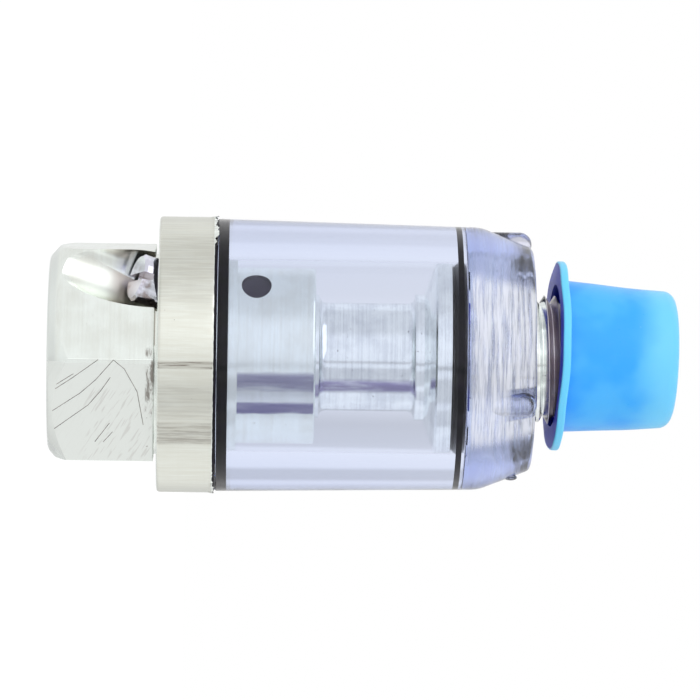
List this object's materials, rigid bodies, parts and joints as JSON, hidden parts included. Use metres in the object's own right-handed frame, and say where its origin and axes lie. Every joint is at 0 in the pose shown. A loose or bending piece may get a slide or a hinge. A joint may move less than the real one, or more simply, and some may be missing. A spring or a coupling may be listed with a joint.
{
  "type": "air line lubricator",
  "caption": "In-line compressed-air lubricator: hexagonal inlet head with flange, clear oil bowl, threaded outlet under a push-on cap.",
  "frame": {"origin": "centre of the inlet face, on which the part stands", "axes": "+Z along the air line from inlet to outlet; the scoop's side faces -X and -Y"},
  "size_m": [0.0364, 0.0364, 0.083],
  "materials": {
    "head_metal": "bright turned and milled, brushed, with milling scratches",
    "stem_metal": "turned",
    "insert_brass": "turned",
    "screw_steel": "turned, bright",
    "seal_rubber": "black, oiled",
    "wick_felt": "dark oil-soaked felt",
    "clear_bowl": "clear, faint violet-blue tint",
    "cap_plastic": "soft translucent"
  },
  "bodies": {
    "head": {"inlet_head": "head_metal", "venturi_insert": "insert_brass", "oil_wick": "wick_felt", "outlet_stem": "stem_metal", "stem_o_ring": "seal_rubber", "bowl_rim_o_ring": "seal_rubber"},
    "bowl_ring": {"bowl_end_o_ring": "seal_rubber"},
    "bowl": {"bowl": "clear_bowl"},
    "screw_ring": {"metering_screw_o_ring": "seal_rubber"},
    "screw": {"metering_screw": "screw_steel"},
    "cap": {"outlet_cap": "cap_plastic"}
  },
  "joints": [
    {"name": "bowl_travel", "type": "slide", "parent": "head", "child": "bowl_ring", "axis": [0, 0, 1], "range_m": [0, 0.00141]},
    {"name": "bowl_turn", "type": "hinge", "parent": "bowl_ring", "child": "bowl", "pos_m": [0, 0, 0.059], "axis": [0, 0, 1], "range_deg": [0, 360]},
    {"name": "screw_travel", "type": "slide", "parent": "head", "child": "screw_ring", "axis": [-0.278, -0.3034, -0.9114], "range_m": [0, 0.0015]},
    {"name": "screw_turn", "type": "hinge", "parent": "screw_ring", "child": "screw", "pos_m": [-0.00915, -0.00999, 0.0144], "axis": [-0.278, -0.3034, -0.9114], "range_deg": [0, 1080]},
    {"name": "cap_pull", "type": "slide", "parent": "head", "child": "cap", "axis": [0, 0, 1], "range_m": [0, 0.018]}
  ],
  "couplings": [
    {"joint": "bowl_travel", "follows": "bowl_turn", "m_per_rad": 0.00022457},
    {"joint": "screw_turn", "follows": "screw_travel", "rad_per_m": 12566}
  ]
}
